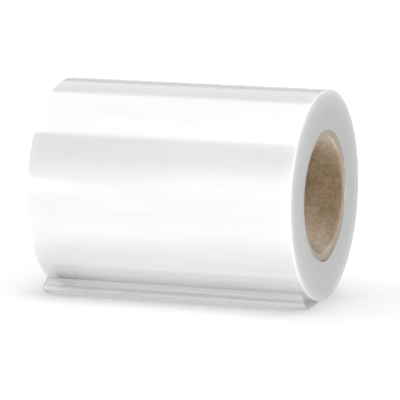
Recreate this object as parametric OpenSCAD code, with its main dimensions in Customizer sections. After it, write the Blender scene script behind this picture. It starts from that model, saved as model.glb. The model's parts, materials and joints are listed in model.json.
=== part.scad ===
// Roll of clear sealing film on a cardboard core, lying on its side.
// The axis runs along X, the origin is at the middle of the core's bore, and +Z is up.
// The web leaves the roll underneath, lies on the floor towards -Y, and curls up in front of the roll.

/* [Core] */
// Bore of the cardboard core
core_bore = 76.2; // [50:0.1:90]
// Wall of the core
core_wall = 4.2; // [3:0.1:7]
// How far the core's ends lie behind the film's ends
core_recess = 1.2; // [0.5:0.1:4]

/* [Wound film] */
// Width of the film, along the axis
film_w = 180; // [80:1:400]
// Outside diameter of the wound film
film_od = 136.5; // [124:0.5:220]
// Radial clearance between the core and the first turn
wrap_clearance = 0.05; // [0.02:0.01:0.3]
// Depth of the flat spot that the roll rests on
flat_depth = 0.3; // [0.2:0.05:1]
// Bands of turns that show on the ends of the roll
turn_bands = 9; // [4:1:14]
// How far a band of turns may lie behind the end of the roll
turn_step = 0.3; // [0.1:0.05:0.6]

/* [Slack turns under the core] */
// Depth of the gap where the first turns have let go of the core
slack_depth = 0.8; // [0.4:0.1:1.5]
// Width of that gap, around the core
slack_w = 25; // [15:1:35]

/* [Loose end] */
// Thickness of the loose end
web_t = 0.3; // [0.2:0.05:0.6]
// How far the curl stands in front of the roll, at the height of its nose
curl_reach = 23.6; // [16:0.1:35]
// Outside radius of the curl's nose
nose_r = 1.8; // [1.2:0.1:3]
// Height of the nose's centre above the floor
nose_h = 4.2; // [3.8:0.1:7]
// Radius of the bend where the web lifts off the floor
lift_r = 7.4; // [4:0.1:10]
// Slope of the web between the floor and the nose, in degrees
lift_angle = 33; // [25:1:45]
// Slope of the web from the nose back to the roll, in degrees
lean_angle = 33; // [20:1:38]
// Gap between the cut edge and the roll
edge_gap = 2.6; // [0.6:0.1:5]
// How far the loose end has wandered along the axis
web_shift = 2.5; // [0:0.1:4]

/* [Hidden] */

$fn = 128;
lift_steps = 4;
nose_steps = 14;
// Angle between the levels of neighbouring bands, which keeps them from repeating
level_turn = 137.5;
// What a cutting solid reaches past the face that it cuts
overcut = 1;

core_od = core_bore + 2 * core_wall;
core_len = film_w - 2 * core_recess;

film_r = film_od / 2;
wrap_r = core_od / 2 + wrap_clearance;
band_t = (film_r - wrap_r) / turn_bands;
floor_z = flat_depth - film_r;

// The gap's outer wall is an arc over the same chord as the core's, but deeper
core_sagitta = wrap_r - sqrt(wrap_r * wrap_r - slack_w * slack_w / 4);
slack_sagitta = core_sagitta + slack_depth;
slack_r = (slack_sagitta * slack_sagitta + slack_w * slack_w / 4) / (2 * slack_sagitta);
slack_z = slack_r - wrap_r - slack_depth;

// Where the roll's front surface is, at height h above the floor
function roll_y(h) = -sqrt(film_r * film_r - pow(floor_z + h, 2));

// Points of an arc around c, in the plane across the axis
function arc(c, r, from, to, steps) =
    [for (i = [0:steps]) c + r * unit(from + (to - from) * i / steps)];

function unit(angle) = [cos(angle), sin(angle)];

// The curl's nose, and the directions in which the web enters and leaves it
nose = [roll_y(nose_h) - curl_reach + nose_r, floor_z + nose_h];
nose_in = -90 - lift_angle;
nose_out = lean_angle - 270;

// The bend off the floor, tangent to the floor and to the slope that runs into the nose
slope_in = nose + nose_r * unit(nose_in);
slope_foot = slope_in[0] + (slope_in[1] - floor_z) / tan(lift_angle);
lift = [slope_foot + lift_r * tan(lift_angle / 2), floor_z + lift_r];

// The cut edge: the slope out of the nose ends where it is edge_gap away from the roll
slope_out = nose + nose_r * unit(nose_out);
lean = unit(lean_angle);
along = slope_out * lean;
stop_r = film_r + edge_gap;
lean_len = -along - sqrt(along * along - slope_out * slope_out + stop_r * stop_r);

// Level of the end of the roll at band i, counted from the core
function level(i) = film_w / 2 - turn_step * (1 - cos(level_turn * i)) / 2;

// Cardboard tube that the film is wound on
module core() {
    color("#a89079")
        rotate([0, 90, 0])
            difference() {
                cylinder(d = core_od, h = core_len, center = true);
                cylinder(d = core_bore, h = core_len + 2 * overcut, center = true);
            }
}

// All the turns of the web, and its loose end
module film() {
    color("#e6e9eb")
        union() {
            difference() {
                wound_turns();
                slack_gap();
                below_floor();
            }
            loose_end();
        }
}

// The wound web, with bands of turns that stand a little in or out at both ends
module wound_turns() {
    near_end = [for (i = [0:turn_bands - 1], edge = [0, 1]) [wrap_r + (i + edge) * band_t, level(i)]];
    far_end = [for (i = [2 * turn_bands - 1:-1:0]) [near_end[i][0], -near_end[i][1]]];
    rotate([0, 90, 0])
        rotate_extrude()
            polygon(concat(near_end, far_end));
}

// The crescent under the core
module slack_gap() {
    translate([0, 0, slack_z])
        rotate([0, 90, 0])
            cylinder(r = slack_r, h = film_w + 2 * overcut, center = true);
}

// Everything that the flat spot cuts away
module below_floor() {
    translate([-film_w / 2 - overcut, -film_r, -film_r - overcut])
        cube([film_w + 2 * overcut, film_od, floor_z + film_r + overcut]);
}

// The web from the flat spot to its cut edge
module loose_end() {
    inner_lift_r = lift_r - web_t;
    inner_nose_r = nose_r - web_t;
    inner_out = nose + inner_nose_r * unit(nose_out);
    outside = concat(
        [[0, floor_z]],
        arc(lift, lift_r, -90, nose_in, lift_steps),
        arc(nose, nose_r, nose_in, nose_out, nose_steps),
        [slope_out + lean_len * lean]
    );
    inside = concat(
        [inner_out + lean_len * lean],
        arc(nose, inner_nose_r, nose_out, nose_in, nose_steps),
        arc(lift, inner_lift_r, nose_in, -90, lift_steps),
        [[0, floor_z + web_t]]
    );
    rotate([90, 0, 90])
        translate([0, 0, web_shift - film_w / 2])
            linear_extrude(film_w)
                polygon(concat(outside, inside));
}

core();
film();
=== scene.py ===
"""Roll of clear sealing film on a cardboard core, lying on its side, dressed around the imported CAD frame.

All lengths are in metres. The roll's axis runs along X, and its loose end lies on the floor towards -Y.
Around the axis, angle 0 points along +Y and a quarter turn points up.
"""
import json
import math

import bpy
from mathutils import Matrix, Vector, noise


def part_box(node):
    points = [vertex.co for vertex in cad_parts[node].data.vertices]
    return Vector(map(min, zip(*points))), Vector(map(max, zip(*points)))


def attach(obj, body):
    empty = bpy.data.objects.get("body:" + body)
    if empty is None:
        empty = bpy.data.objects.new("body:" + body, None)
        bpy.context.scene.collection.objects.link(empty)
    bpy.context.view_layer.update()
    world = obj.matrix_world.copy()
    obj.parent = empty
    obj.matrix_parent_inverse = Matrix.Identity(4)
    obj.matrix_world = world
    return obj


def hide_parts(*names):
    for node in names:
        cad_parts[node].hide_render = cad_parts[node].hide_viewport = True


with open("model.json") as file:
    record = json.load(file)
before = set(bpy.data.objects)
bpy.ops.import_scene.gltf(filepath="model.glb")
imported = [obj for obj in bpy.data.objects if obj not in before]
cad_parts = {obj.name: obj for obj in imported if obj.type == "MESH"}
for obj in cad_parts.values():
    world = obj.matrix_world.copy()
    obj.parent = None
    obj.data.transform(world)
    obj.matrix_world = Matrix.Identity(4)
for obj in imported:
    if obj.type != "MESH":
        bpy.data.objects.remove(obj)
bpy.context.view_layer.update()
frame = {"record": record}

MM = 0.001
TAU = 2 * math.pi

# Sizes that the frame gives
film_low, film_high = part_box("film")
core_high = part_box("core")[1]
mounts = {m["name"]: m for m in frame["record"]["mounts"]}
FILM_R = film_high.z
FLOOR_Z = film_low.z
HALF_W = -film_low.x
WEB_SHIFT = film_high.x - HALF_W
CORE_R = core_high.z
CORE_HALF = core_high.x
BORE_R = mounts["core_bore"]["dims"]["r_mm"] * MM

# The wound film, as the source gives it, with softer steps between its bands
WRAP_CLEARANCE = 0.05 * MM
WRAP_R = CORE_R + WRAP_CLEARANCE
SLACK_DEPTH = 0.8 * MM
SLACK_W = 25 * MM
TURN_BANDS = 9
TURN_STEP = 0.1 * MM
LEVEL_TURN = math.radians(137.5)

# The loose end, as the source gives it
WEB_T = 0.3 * MM
CURL_REACH = 23.6 * MM
NOSE_R = 1.8 * MM
NOSE_H = 4.2 * MM
LIFT_R = 7.4 * MM
LIFT_ANGLE = math.radians(33)
EDGE_GAP = 2.6 * MM

# The crease over the nose, from which the web rises again to its cut edge
SHELF_ANGLE = math.radians(4)
CREASE_R = 1.0 * MM
RISE_ANGLE = math.radians(36)


def noise_at(x, y, z):
    """Smooth noise from about -1 to 1 that is the same on each run."""
    return noise.noise(Vector((x, y, z)))


def clamp(value, low, high):
    return max(low, min(high, value))


def smooth_step(value):
    t = clamp(value, 0, 1)
    return t * t * (3 - 2 * t)


def unit(angle):
    return Vector((math.cos(angle), math.sin(angle)))


def grey(value):
    return value, value, value


# Meshes

def mesh_object(name, vertices, faces, materials, face_material=None):
    """A smooth-shaded object with its place in its mesh."""
    mesh = bpy.data.meshes.new(name)
    mesh.from_pydata(vertices, [], faces)
    for m in materials:
        mesh.materials.append(m)
    for index, polygon in enumerate(mesh.polygons):
        polygon.use_smooth = True
        if face_material:
            polygon.material_index = face_material[index]
    mesh.update()
    made = bpy.data.objects.new(name, mesh)
    bpy.context.scene.collection.objects.link(made)
    return made


def closed_grid(columns, rows, point):
    """Vertices and quads of a grid that closes on itself both ways, as a ring's skin does."""
    vertices = [point(i, j) for i in range(columns) for j in range(rows)]
    faces = []
    for i in range(columns):
        for j in range(rows):
            across, along = (i + 1) % columns, (j + 1) % rows
            faces.append((i * rows + j, i * rows + along, across * rows + along, across * rows + j))
    return vertices, faces


def span(start, stop, steps):
    """Evenly spaced values from start to just before stop."""
    return [start + (stop - start) * k / steps for k in range(steps)]


# Materials

class Graph:
    """A node tree, one call a node."""

    def __init__(self, tree, material=None):
        self.tree = tree
        self.material = material
        tree.nodes.clear()

    @classmethod
    def of_material(cls, name):
        material = bpy.data.materials.new(name)
        material.use_nodes = True
        return cls(material.node_tree, material)

    def node(self, kind, inputs=None, **settings):
        made = self.tree.nodes.new("ShaderNode" + kind)
        for key, value in settings.items():
            setattr(made, key, value)
        for key, value in (inputs or {}).items():
            if isinstance(value, bpy.types.NodeSocket):
                self.tree.links.new(value, made.inputs[key])
            else:
                made.inputs[key].default_value = value
        return made

    def math(self, operation, first, second=0.0, clamped=False):
        return self.node("Math", {0: first, 1: second}, operation=operation, use_clamp=clamped).outputs[0]

    def vector(self, operation, first, second=(0, 0, 0)):
        return self.node("VectorMath", {0: first, 1: second}, operation=operation).outputs[0]

    def length(self, vector):
        return self.node("VectorMath", {0: vector}, operation="LENGTH").outputs["Value"]

    def remap(self, value, low, high, to_low, to_high):
        limits = {"Value": value, "From Min": low, "From Max": high, "To Min": to_low, "To Max": to_high}
        return self.node("MapRange", limits).outputs["Result"]

    def noise(self, vector, scale, detail=3.0, roughness=0.5):
        inputs = {"Vector": vector, "Scale": scale, "Detail": detail, "Roughness": roughness}
        return self.node("TexNoise", inputs).outputs["Fac"]

    def ramp(self, value, stops):
        """Colour for a value, from stops of (position, colour)."""
        made = self.node("ValToRGB", {"Fac": value})
        elements = made.color_ramp.elements
        while len(elements) < len(stops):
            elements.new(0.5)
        for element, (position, colour) in zip(elements, stops):
            element.position = position
            element.color = (*colour, 1)
        return made.outputs["Color"]

    def mix(self, factor, first, second, blend="MIX"):
        made = self.node("Mix", {0: factor, 6: first, 7: second}, data_type="RGBA", blend_type=blend)
        return made.outputs[2]

    def bump(self, height, distance, strength=1.0, normal=None):
        inputs = {"Height": height, "Distance": distance, "Strength": strength}
        if normal:
            inputs["Normal"] = normal
        return self.node("Bump", inputs).outputs["Normal"]

    def place(self):
        """The point that is shaded, in the object's own frame."""
        return self.node("TexCoord").outputs["Object"]

    def part(self, place, axis):
        """One coordinate of a place: X, Y or Z."""
        return self.node("SeparateXYZ", {"Vector": place}).outputs[axis]

    def angle(self, place):
        """Angle of a place around the roll's axis."""
        return self.math("ARCTAN2", self.part(place, "Z"), self.part(place, "Y"))

    def radius(self, place):
        """Distance of a place from the roll's axis."""
        return self.length(self.vector("MULTIPLY", place, (0, 1, 1)))

    def stretched(self, place, along, across):
        """Texture place in which noise runs out along the roll's axis: along and across are its scales."""
        return self.node("Mapping", {"Vector": place, "Scale": (along, across, across)}).outputs["Vector"]

    def surface(self, shader):
        self.node("OutputMaterial", {"Surface": shader})
        return self.material


# How far light spreads inside the wound film
FILM_SCATTER = grey(12 * MM)


def film_face():
    """The web's face: glossy and milky, with faint streaks along the axis and gauge bands around it."""
    g = Graph.of_material("film_face")
    place = g.place()
    streaks = g.noise(g.stretched(place, 6, 260), 1.0, 4.0, 0.6)
    bands = g.noise(g.stretched(place, 120, 3), 1.0, 3.0, 0.55)
    broad = g.noise(g.stretched(place, 5, 45), 1.0, 4.0, 0.6)
    shader = g.node("BsdfPrincipled", {
        "Base Color": g.ramp(broad, [(0.3, (0.565, 0.567, 0.57)), (0.7, (0.625, 0.627, 0.63))]),
        "Roughness": g.remap(streaks, 0.3, 0.7, 0.14, 0.22),
        "IOR": 1.8,
        "Normal": g.bump(streaks, 0.04 * MM, 1.0, g.bump(bands, 0.12 * MM)),
        "Subsurface Weight": 0.7,
        "Subsurface Radius": FILM_SCATTER,
        "Subsurface Scale": 1.0,
        "Coat Weight": 1.0,
        "Coat IOR": 1.8,
        "Coat Roughness": 0.15,
    })
    return g.surface(shader.outputs[0])


# Rings to the metre on the ends, and how far noise drifts around them
RING_SCALE = 2600.0
RING_DRIFT = 0.7

# Colour of the ends, from the innermost turn to the outermost: the grey is their own, but its darkening
# towards the core is painted shade and its paling towards the outside is painted light, standing in for light
# that leaks in through the thin outer turns
END_COLOURS_WITH_PAINTED_LIGHT = [
    (0.0, (0.40, 0.40, 0.40)),
    (0.5, (0.43, 0.43, 0.432)),
    (0.8, (0.49, 0.49, 0.492)),
    (0.95, (0.60, 0.60, 0.602)),
    (1.0, (0.68, 0.682, 0.685)),
]


def film_ends():
    """The web's edges, wound side by side: satin, with fine rings, darker towards the core in painted shade
    and paler towards the outside in painted light.
    """
    g = Graph.of_material("film_ends")
    place = g.place()
    radius, angle = g.radius(place), g.angle(place)
    rings = g.node("CombineXYZ", {
        "X": g.math("MULTIPLY", radius, RING_SCALE),
        "Y": g.math("MULTIPLY", g.math("COSINE", angle), RING_DRIFT),
        "Z": g.math("MULTIPLY", g.math("SINE", angle), RING_DRIFT),
    }).outputs[0]
    fine = g.noise(rings, 1.0, 2.0)
    wide = g.noise(rings, 0.16, 2.0)
    both = g.math("ADD", g.math("MULTIPLY", fine, 0.4), g.math("MULTIPLY", wide, 0.6))
    # Painted shade towards the core and painted light towards the outside of the ends
    body = g.ramp(g.remap(radius, WRAP_R, FILM_R, 0.0, 1.0), END_COLOURS_WITH_PAINTED_LIGHT)
    ring_tone = g.ramp(both, [(0.3, grey(0.97)), (0.7, grey(1.0))])
    shader = g.node("BsdfPrincipled", {
        "Base Color": g.mix(1.0, body, ring_tone, "MULTIPLY"),
        "Roughness": g.remap(fine, 0.3, 0.7, 0.32, 0.5),
        "IOR": 1.45,
        "Normal": g.bump(fine, 0.03 * MM, 0.6),
        "Subsurface Weight": 0.6,
        "Subsurface Radius": FILM_SCATTER,
        "Subsurface Scale": 1.0,
    })
    return g.surface(shader.outputs[0])


def film_bore_painted_shade():
    """The innermost turn, seen only where it has let go of the core, much darker than the same film elsewhere:
    painted shade in the gap between the film and the core.
    """
    g = Graph.of_material("film_bore_painted_shade")
    streaks = g.noise(g.stretched(g.place(), 6, 260), 1.0)
    shader = g.node("BsdfPrincipled", {
        # Dark grey: painted shade in the gap between the film and the core
        "Base Color": g.ramp(streaks, [(0.3, (0.26, 0.25, 0.24)), (0.7, (0.34, 0.33, 0.32))]),
        "Roughness": 0.4,
        "Normal": g.bump(streaks, 0.04 * MM),
    })
    return g.surface(shader.outputs[0])


# Between these places along the axis the loose end turns from darker and less see-through, at its far end, to
# clear: the darker colour there is painted shade
SHADED_END_X = -88 * MM
CLEAR_X = -55 * MM


def web_material():
    """The loose end: the same web in one thin layer, clearer and more glossy than on the roll, with painted
    shade darkening its far end.
    """
    g = Graph.of_material("loose_web")
    place = g.place()
    streaks = g.noise(g.stretched(place, 8, 500), 1.0, 3.0)
    clear = g.ramp(streaks, [(0.3, (0.67, 0.674, 0.678)), (0.7, (0.73, 0.734, 0.738))])
    painted_shade_far_end = g.remap(g.part(place, "X"), SHADED_END_X, CLEAR_X, 1.0, 0.0)
    shader = g.node("BsdfPrincipled", {
        # Darker colour towards the far end: painted shade
        "Base Color": g.mix(painted_shade_far_end, clear, (0.56, 0.562, 0.565, 1)),
        "Roughness": 0.12,
        "IOR": 1.8,
        "Alpha": g.remap(painted_shade_far_end, 0.0, 1.0, 0.3, 0.62),
        "Normal": g.bump(streaks, 0.012 * MM),
        "Coat Weight": 1.0,
        "Coat IOR": 1.9,
        "Coat Roughness": 0.06,
    })
    return g.surface(shader.outputs[0])


KRAFT_DARK = (0.17, 0.115, 0.055)
KRAFT_MID = (0.35, 0.265, 0.18)
KRAFT_PALE = (0.60, 0.49, 0.39)

# The darker ply, which is painted shade on the bore's +Y side, with its paler tone as painted light round the
# bottom: how far it runs along the core in one turn, and where it lies
SHADE_PLY_PITCH = 400 * MM
SHADE_PLY_TURN = -2.82

# The sine around the core at which the darker ply, the painted shade, ends
SHADE_PLY_EDGE = -0.4


def board_face():
    """The core's faces: mottled kraft paper with fibres, with two tones laid out as a slow spiral ply that
    paint shade on the bore's +Y side and light round its bottom.
    """
    g = Graph.of_material("board_face")
    place = g.place()
    blotches = g.noise(g.stretched(place, 110, 90), 1.0, 4.0, 0.6)
    fibres = g.noise(g.stretched(place, 420, 420), 1.0, 3.0, 0.6)
    mottle = g.math("ADD", g.math("MULTIPLY", blotches, 0.35), g.math("MULTIPLY", fibres, 0.65))
    spiral = g.math("MULTIPLY", g.part(place, "X"), TAU / SHADE_PLY_PITCH)
    turn = g.math("ADD", spiral, g.math("ADD", g.angle(place), SHADE_PLY_TURN))
    # Two tones as a spiral ply: painted shade on the bore's +Y side, painted light round its bottom
    painted_ply_shade = g.remap(g.math("SINE", turn), -1.0, SHADE_PLY_EDGE, -0.26, 0.28)
    tone = g.math("ADD", g.remap(mottle, 0.2, 0.8, 0.28, 0.72), painted_ply_shade)
    shader = g.node("BsdfPrincipled", {
        "Base Color": g.ramp(tone, [(0.2, KRAFT_DARK), (0.5, KRAFT_MID), (0.8, KRAFT_PALE)]),
        "Roughness": g.remap(fibres, 0.3, 0.7, 0.75, 0.95),
        "Normal": g.bump(mottle, 0.3 * MM, 0.8),
        "Sheen Weight": 0.15,
    })
    return g.surface(shader.outputs[0])


PLY_T = 0.55 * MM


def board_ends():
    """The core's cut ends: paler board with the plies as thin rings."""
    g = Graph.of_material("board_ends")
    place = g.place()
    plies = g.math("SINE", g.math("MULTIPLY", g.radius(place), TAU / PLY_T))
    grain = g.noise(place, 900, 3.0, 0.6)
    mottle = g.math("ADD", g.remap(plies, -1.0, 1.0, 0.0, 0.35), g.math("MULTIPLY", grain, 0.65))
    colours = [(0.25, (0.30, 0.24, 0.19)), (0.55, (0.40, 0.34, 0.285)), (0.8, (0.50, 0.44, 0.38))]
    shader = g.node("BsdfPrincipled", {
        "Base Color": g.ramp(mottle, colours),
        "Roughness": 0.9,
        "Normal": g.bump(mottle, 0.2 * MM, 0.8),
    })
    return g.surface(shader.outputs[0])


# The box from which the floor's glow is measured, around the roll's contact with the floor, where the weaker
# glow paints the roll's shadow
CONTACT_CENTRE = (0, -20 * MM, 0)
CONTACT_HALF = (75 * MM, 22 * MM, 1)

# How strongly the floor glows at a distance in metres from that box, to the camera and in gloss: the weaker
# glow near the box is a painted shadow, and the glow that gloss mirrors, high at the box, low a little way out
# and high again, paints light and shade in the roll's reflection of the floor
FLOOR_GLOW_PAINTED_SHADOW = [(0.0, 0.34), (0.008, 0.34), (0.014, 0.41), (0.02, 0.46), (0.03, 0.56), (0.045, 0.62), (0.5, 1.0)]
FLOOR_MIRROR_GLOW_PAINTED_REFLECTION = [
    (0.0, 1.0),
    (0.004, 0.9),
    (0.012, 0.44),
    (0.03, 0.44),
    (0.055, 0.85),
    (0.08, 1.0),
    (0.13, 1.0),
    (0.3, 0.82),
]

# Colour of the floor, to the camera and gloss, and to the light that it throws back on the roll; the low
# colour seen leaves most of the shadow's depth to the painted glow
FLOOR_SEEN = 0.4
FLOOR_BOUNCED = 0.88


def floor_material():
    """White floor that keeps the roll's shadow, partly cast and partly painted: its glow fills in what the
    lamps leave short of white and is weaker near the roll's contact, a painted shadow; gloss sees a glow of
    its own, a painted reflection.
    """
    g = Graph.of_material("floor")
    offset = g.vector("ABSOLUTE", g.vector("SUBTRACT", g.place(), CONTACT_CENTRE))
    away = g.length(g.vector("MAXIMUM", g.vector("SUBTRACT", offset, CONTACT_HALF)))
    # Weaker glow near the roll's contact: painted shadow
    shadow_glow = g.ramp(away, [(at, grey(strength)) for at, strength in FLOOR_GLOW_PAINTED_SHADOW])
    # Glow seen in gloss, dipping and rising near the roll: painted reflection
    painted_reflection_glow = g.ramp(away, [(at, grey(strength)) for at, strength in FLOOR_MIRROR_GLOW_PAINTED_REFLECTION])
    path = g.node("LightPath").outputs
    seen = g.math("ADD", path["Is Camera Ray"], path["Is Transmission Ray"], clamped=True)
    in_gloss = g.math("MULTIPLY", painted_reflection_glow, path["Is Glossy Ray"])
    strength = g.math("MAXIMUM", g.math("MULTIPLY", shadow_glow, seen), in_gloss)
    direct = g.math("ADD", path["Is Camera Ray"], path["Is Glossy Ray"], clamped=True)
    colour = g.mix(direct, (*grey(FLOOR_BOUNCED), 1), (*grey(FLOOR_SEEN), 1))
    plain = g.node("BsdfDiffuse", {"Color": colour}).outputs[0]
    lit = g.node("Emission", {"Strength": strength}).outputs[0]
    return g.surface(g.node("AddShader", {0: plain, 1: lit}).outputs[0])


# The wound film

# The arc over the same chord as the core's that bounds the slack under the core
slack_sagitta = WRAP_R - math.sqrt(WRAP_R ** 2 - SLACK_W ** 2 / 4) + SLACK_DEPTH
slack_r = (slack_sagitta ** 2 + SLACK_W ** 2 / 4) / (2 * slack_sagitta)
slack_z = slack_r - WRAP_R - SLACK_DEPTH

# Depth of the relief on the ends, of the streaks and gauge bands on the face, and of the face itself
END_RELIEF = 0.03 * MM
STREAK_RELIEF = 0.035 * MM
GAUGE_RELIEF = 0.04 * MM
FACE_SINK = 0.05 * MM

# Round edge between the ends and the face, and how far the bore's skin stops short of the ends
BEVEL_R = 0.5 * MM
BORE_INSET = 0.2 * MM

END_RINGS = 72
BEVEL_STEPS = 5
FACE_STEPS = 130
BORE_STEPS = 6
SEGMENTS = 320


def inner_radius(angle):
    """Radius of the film's bore, with the slack turns under the core."""
    down = slack_z * math.sin(angle)
    inside = slack_r ** 2 - (slack_z * math.cos(angle)) ** 2
    return max(WRAP_R, down + math.sqrt(inside))


def level(band):
    """How far the ends of a band of turns lie back, counted from the core."""
    return TURN_STEP * (1 - math.cos(LEVEL_TURN * min(band, TURN_BANDS - 1))) / 2


def band_level(t):
    """How far the ends lie back at t, from 0 at the core to 1 outside: bands of turns, softly stepped."""
    place = clamp(t, 0, 1) * TURN_BANDS
    band = min(int(place), TURN_BANDS - 1)
    return level(band) + (level(band + 1) - level(band)) * smooth_step(place - band)


def end_relief(radius, angle, side):
    """How far a turn's edge lies behind the roll's end."""
    t = (radius - WRAP_R) / (FILM_R - WRAP_R)
    c, s = math.cos(angle), math.sin(angle)
    fine = noise_at(radius / (0.7 * MM), 0.8 * c + 7 * side, 0.8 * s)
    wander = noise_at(radius / (4 * MM), 0.5 * c + 3 * side, 0.5 * s + 9)
    return band_level(t) + END_RELIEF * (1 + fine) + END_RELIEF * (1 + wander)


def face_relief(x, angle):
    """How far the wound web's face stands out: streaks along the axis and gauge bands around it."""
    c, s = math.cos(angle), math.sin(angle)
    streaks = noise_at(x / (100 * MM), 9 * c, 9 * s)
    gauge = noise_at(x / (14 * MM), 0.7 * c, 0.7 * s + 5)
    return STREAK_RELIEF * streaks + GAUGE_RELIEF * gauge - FACE_SINK


def film_profile():
    """Ring of (kind, side, position) around the film's section, from the left end over the face."""
    ring = [("end", -1, t) for t in span(0, 1, END_RINGS)]
    ring += [("bevel", -1, t) for t in span(0, 1, BEVEL_STEPS)]
    ring += [("face", 0, t) for t in span(-1, 1, FACE_STEPS)]
    ring += [("bevel", 1, 1 - t) for t in span(0, 1, BEVEL_STEPS)]
    ring += [("end", 1, 1 - t) for t in span(0, 1, END_RINGS)]
    ring += [("bore", 0, 1 - 2 * t) for t in span(0, 1, BORE_STEPS)]
    return ring


def film_roll():
    ring = film_profile()
    rim_r = FILM_R - BEVEL_R

    def point(i, j):
        kind, side, t = ring[j]
        angle = TAU * i / SEGMENTS
        bore = inner_radius(angle)
        if kind == "end":
            radius = bore + (rim_r - bore) * t
            x = side * (HALF_W - end_relief(radius, angle, side))
        elif kind == "bevel":
            turn = t * math.pi / 2
            radius = rim_r + BEVEL_R * math.sin(turn) + face_relief(side * HALF_W, angle) * t
            x = side * (HALF_W - end_relief(rim_r, angle, side) * (1 - t) - BEVEL_R * (1 - math.cos(turn)))
        elif kind == "face":
            x = (HALF_W - BEVEL_R) * t
            radius = FILM_R + face_relief(x, angle)
        else:
            x = (HALF_W - BORE_INSET) * t
            radius = bore
        return x, radius * math.cos(angle), max(radius * math.sin(angle), FLOOR_Z)

    vertices, faces = closed_grid(SEGMENTS, len(ring), point)
    slots = {"face": 0, "end": 1, "bevel": 1, "bore": 2}
    materials = [slots[kind] for kind, side, t in ring] * SEGMENTS
    return mesh_object("wound_film", vertices, faces, [film_face(), film_ends(), film_bore_painted_shade()], materials)


# The loose end

# Where the web comes out from under the roll
WEB_START_Y = -6.4 * MM

# Steps on the floor, round the bend off it, up the slope, round the nose and round the crease
FLAT_STEPS = 24
LIFT_STEPS = 6
SLOPE_STEPS = 4
NOSE_STEPS = 26
CREASE_STEPS = 6

# Places on the last slope, as shares of it
RISE_PLACES = (0, 0.2, 0.4, 0.6, 0.8, 0.95, 1)

# Steps along the axis
WEB_STEPS = 150

# The slanted cut at the near corner: how much it takes off the edge, and where it starts along the axis
CORNER_CUT = 3.8 * MM
CUT_FROM = 0.8

# How far the web sways, and from which share of its run
SWAY = 0.35 * MM
SWAY_FROM = 0.55


def roll_y(height):
    """Where the roll's front is, at a height above the floor."""
    return -math.sqrt(FILM_R ** 2 - (FLOOR_Z + height) ** 2)


def curl_path():
    """Places along the web's outside: place, direction to its inside, distance along the web, and how far
    the place lies from the nose's front back to the cut edge, from 0 to 1."""
    nose = Vector((roll_y(NOSE_H) - CURL_REACH + NOSE_R, FLOOR_Z + NOSE_H))
    nose_in = -math.pi / 2 - LIFT_ANGLE
    nose_out = SHELF_ANGLE - 1.5 * math.pi
    slope_in = nose + NOSE_R * unit(nose_in)
    slope_foot = slope_in.x + (slope_in.y - FLOOR_Z) / math.tan(LIFT_ANGLE)
    lift = Vector((slope_foot + LIFT_R * math.tan(LIFT_ANGLE / 2), FLOOR_Z + LIFT_R))
    lift_end = lift + LIFT_R * unit(nose_in)
    crease = nose + (NOSE_R + CREASE_R) * unit(nose_out)
    crease_end = RISE_ANGLE - 1.5 * math.pi
    rise_start = crease - CREASE_R * unit(crease_end)
    rise = unit(RISE_ANGLE)
    along = rise_start.dot(rise)
    stop_r = FILM_R + EDGE_GAP
    rise_len = -along - math.sqrt(along ** 2 - rise_start.length_squared + stop_r ** 2)

    start = Vector((WEB_START_Y, FLOOR_Z))
    flat_end = Vector((lift.x, FLOOR_Z))
    path = [(start.lerp(flat_end, t), Vector((0, 1))) for t in span(0, 1, FLAT_STEPS)]
    path += [(lift + LIFT_R * unit(a), -unit(a)) for a in span(-math.pi / 2, nose_in, LIFT_STEPS)]
    path += [(lift_end.lerp(slope_in, t), -unit(nose_in)) for t in span(0, 1, SLOPE_STEPS)]
    path += [(nose + NOSE_R * unit(a), -unit(a)) for a in span(nose_in, nose_out, NOSE_STEPS)]
    path += [(crease - CREASE_R * unit(a), -unit(a)) for a in span(nose_out, crease_end, CREASE_STEPS)]
    path += [(rise_start + rise_len * t * rise, -unit(crease_end)) for t in RISE_PLACES]

    front = nose.x - NOSE_R
    edge = path[-1][0].x
    measured = []
    run = 0.0
    before = start
    for place, inward in path:
        run += (place - before).length
        back = max(place.x - front, 0) / (edge - front) if place.y > nose.y else 0.0
        measured.append((place, inward, run, back))
        before = place
    return measured


def loose_end():
    path = curl_path()
    whole_run = path[-1][2]
    count = len(path)
    rows = 2 * count

    def point(i, j):
        outside = j < count
        place, inward, run, back = path[j if outside else rows - 1 - j]
        share = run / whole_run
        along = 2 * i / (WEB_STEPS - 1) - 1
        cut = CORNER_CUT * back * smooth_step((along - CUT_FROM) / (1 - CUT_FROM))
        x = HALF_W * along + WEB_SHIFT * smooth_step(share * 1.6) - cut
        free = smooth_step((share - SWAY_FROM) / (1 - SWAY_FROM))
        sway = SWAY * free * noise_at(x / (50 * MM), run / (20 * MM), 4.2)
        spot = place + inward * (sway + (0 if outside else WEB_T))
        return x, spot.x, max(spot.y, FLOOR_Z)

    vertices = [point(i, j) for i in range(WEB_STEPS) for j in range(rows)]
    faces = []
    for i in range(WEB_STEPS - 1):
        for j in range(rows):
            following = (j + 1) % rows
            faces.append((i * rows + j, (i + 1) * rows + j, (i + 1) * rows + following, i * rows + following))
    for i, order in ((0, 1), (WEB_STEPS - 1, -1)):
        for j in range(count - 1):
            quad = (i * rows + j, i * rows + j + 1, i * rows + rows - 2 - j, i * rows + rows - 1 - j)
            faces.append(quad[::order])
    made = mesh_object("loose_end", vertices, faces, [web_material()])
    for polygon in made.data.polygons[(WEB_STEPS - 1) * rows:]:
        polygon.use_smooth = False
    return made


# The core

CORE_RINGS = 14
CORE_FACE_STEPS = 10
CORE_STEPS = 90
CORE_SEGMENTS = 256

# How rough the cut ends are, how ragged their inner edge is, and how uneven the bore is
CUT_RELIEF = 0.08 * MM
EDGE_RELIEF = 0.12 * MM
BORE_RELIEF = 0.06 * MM

# How far the bore's skin stops short of the ends
CORE_INSET = 0.15 * MM


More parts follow.
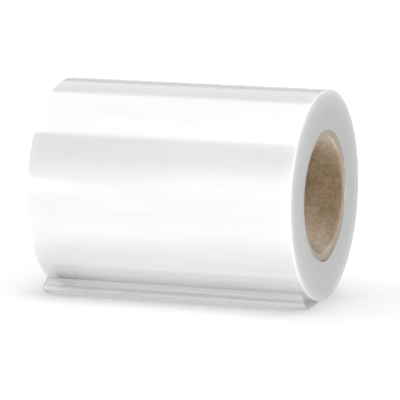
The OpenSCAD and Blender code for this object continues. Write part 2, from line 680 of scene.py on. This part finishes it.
def core_tube():
    ring = [("end", -1, t) for t in span(0, 1, CORE_RINGS)]
    ring += [("outside", 0, t) for t in span(-1, 1, CORE_FACE_STEPS)]
    ring += [("end", 1, 1 - t) for t in span(0, 1, CORE_RINGS)]
    ring += [("bore", 0, 1 - 2 * t) for t in span(0, 1, CORE_STEPS)]

    def point(i, j):
        kind, side, t = ring[j]
        angle = TAU * i / CORE_SEGMENTS
        c, s = math.cos(angle), math.sin(angle)
        if kind == "end":
            radius = BORE_R + (CORE_R - BORE_R) * t
            rough = noise_at(radius / (0.5 * MM), 14 * c, 14 * s + 5 * side)
            x = side * (CORE_HALF - CUT_RELIEF * (1 + rough))
            radius += EDGE_RELIEF * noise_at(22 * c, 22 * s, 3 * side) * (1 - t)
        elif kind == "outside":
            x, radius = CORE_HALF * t, CORE_R
        else:
            x = (CORE_HALF - CORE_INSET) * t
            radius = BORE_R + BORE_RELIEF * noise_at(x / (20 * MM), 6 * c, 6 * s)
        return x, radius * c, radius * s

    vertices, faces = closed_grid(CORE_SEGMENTS, len(ring), point)
    materials = [1 if kind == "end" else 0 for kind, side, t in ring] * CORE_SEGMENTS
    return mesh_object("core_tube", vertices, faces, [board_face(), board_ends()], materials)


# The stage

FLOOR_SIZE = 8.0
FLOOR_DROP = 0.02 * MM

# Strength of the white wall that gloss mirrors at the horizon
WALL_MIRRORED = 0.62

# The long lamps lie along the axis, this far from it
LONG_LAMP_DISTANCE = 1.2
LONG_LAMP_SIZE = 1.6

# Name, place along the axis, elevation in degrees seen from the front, width and power
LONG_LAMPS = (
    ("front", 0.35, 13, 0.52, 1.0),
    ("overhead", -0.45, 91, 1.40, 11.3),
    ("behind", -0.45, 136, 0.70, 2.3),
)

# Name, place, target, size and power
SIDE_LAMPS = (
    ("low_right", (0.9, -1.1, 0.06), (0, 0, 0), (1.2, 0.24), 17.6),
    ("low_left", (-1.0, -1.0, 0.06), (0, 0, 0), (0.9, 0.24), 7.3),
    ("high_right", (0.7, -0.35, 0.9), (0.05, 0, 0), (0.6, 0.6), 1.9),
)


def floor():
    half, z = FLOOR_SIZE / 2, FLOOR_Z - FLOOR_DROP
    corners = [(-half, -half, z), (half, -half, z), (half, half, z), (-half, half, z)]
    return mesh_object("floor", corners, [(0, 1, 2, 3)], [floor_material()])


def soft_box(name, place, target, size, power):
    """A rectangular lamp that the camera doesn't see, facing its target."""
    lamp = bpy.data.lights.new(name, "AREA")
    lamp.shape = "RECTANGLE"
    lamp.size, lamp.size_y = size
    lamp.energy = power
    made = bpy.data.objects.new(name, lamp)
    made.location = place
    made.rotation_mode = "QUATERNION"
    made.rotation_quaternion = (Vector(target) - Vector(place)).to_track_quat("-Z", "Y")
    made.visible_camera = False
    bpy.context.scene.collection.objects.link(made)


def white_world(low, high):
    """Light all round, from low at the horizon to high above, and plain white to the camera.

    Gloss also mirrors a white wall that fades out above the horizon.
    """
    world = bpy.data.worlds.new("studio")
    bpy.context.scene.world = world
    world.use_nodes = True
    g = Graph(world.node_tree)
    rise = g.part(g.node("TexCoord").outputs["Generated"], "Z")
    ambient = g.remap(rise, 0.05, 0.6, low, high)
    path = g.node("LightPath").outputs
    wall = g.math("MULTIPLY", g.remap(rise, 0.05, 0.7, WALL_MIRRORED, 0.0), path["Is Glossy Ray"])
    unseen = g.math("ADD", ambient, wall)
    strength = g.node("Mix", {0: path["Is Camera Ray"], 2: unseen, 3: 1.0}).outputs[0]
    background = g.node("Background", {"Color": (1, 1, 1, 1), "Strength": strength}).outputs[0]
    g.node("OutputWorld", {"Surface": background})


# The camera: azimuth 0 looks along +Y, and the aim lies beside the axis as the photograph is framed
CAMERA_AZIMUTH = math.radians(20.715)
CAMERA_ELEVATION = math.radians(8.974)
CAMERA_DISTANCE = 2.3646
CAMERA_LENS = 326.5
CAMERA_SENSOR = 36
AIM_RIGHT = 3.39 * MM
AIM_DOWN = 8.05 * MM


def camera():
    data = bpy.data.cameras.new("camera")
    data.lens = CAMERA_LENS
    data.sensor_width = CAMERA_SENSOR
    made = bpy.data.objects.new("camera", data)
    flat = math.cos(CAMERA_ELEVATION)
    back = Vector((
        math.sin(CAMERA_AZIMUTH) * flat,
        -math.cos(CAMERA_AZIMUTH) * flat,
        math.sin(CAMERA_ELEVATION),
    ))
    made.rotation_mode = "QUATERNION"
    made.rotation_quaternion = (-back).to_track_quat("-Z", "Y")
    right = made.rotation_quaternion @ Vector((1, 0, 0))
    up = made.rotation_quaternion @ Vector((0, 1, 0))
    made.location = back * CAMERA_DISTANCE + right * AIM_RIGHT - up * AIM_DOWN
    bpy.context.scene.collection.objects.link(made)
    bpy.context.scene.camera = made


camera()

roll = film_roll()
web = loose_end()
core = core_tube()
for piece, node, slot in ((roll, "film", "film_web"), (web, "film", "film_web"), (core, "core", "core_board")):
    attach(piece, "root")
    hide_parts(node)

floor()
for name, x, elevation, width, power in LONG_LAMPS:
    turn = math.radians(elevation)
    place = (x, -LONG_LAMP_DISTANCE * math.cos(turn), LONG_LAMP_DISTANCE * math.sin(turn))
    soft_box(name, place, (x, 0, 0), (LONG_LAMP_SIZE, width), power)
for name, place, target, size, power in SIDE_LAMPS:
    soft_box(name, place, target, size, power)
white_world(0.256, 0.264)
bpy.context.scene.view_settings.view_transform = "Standard"
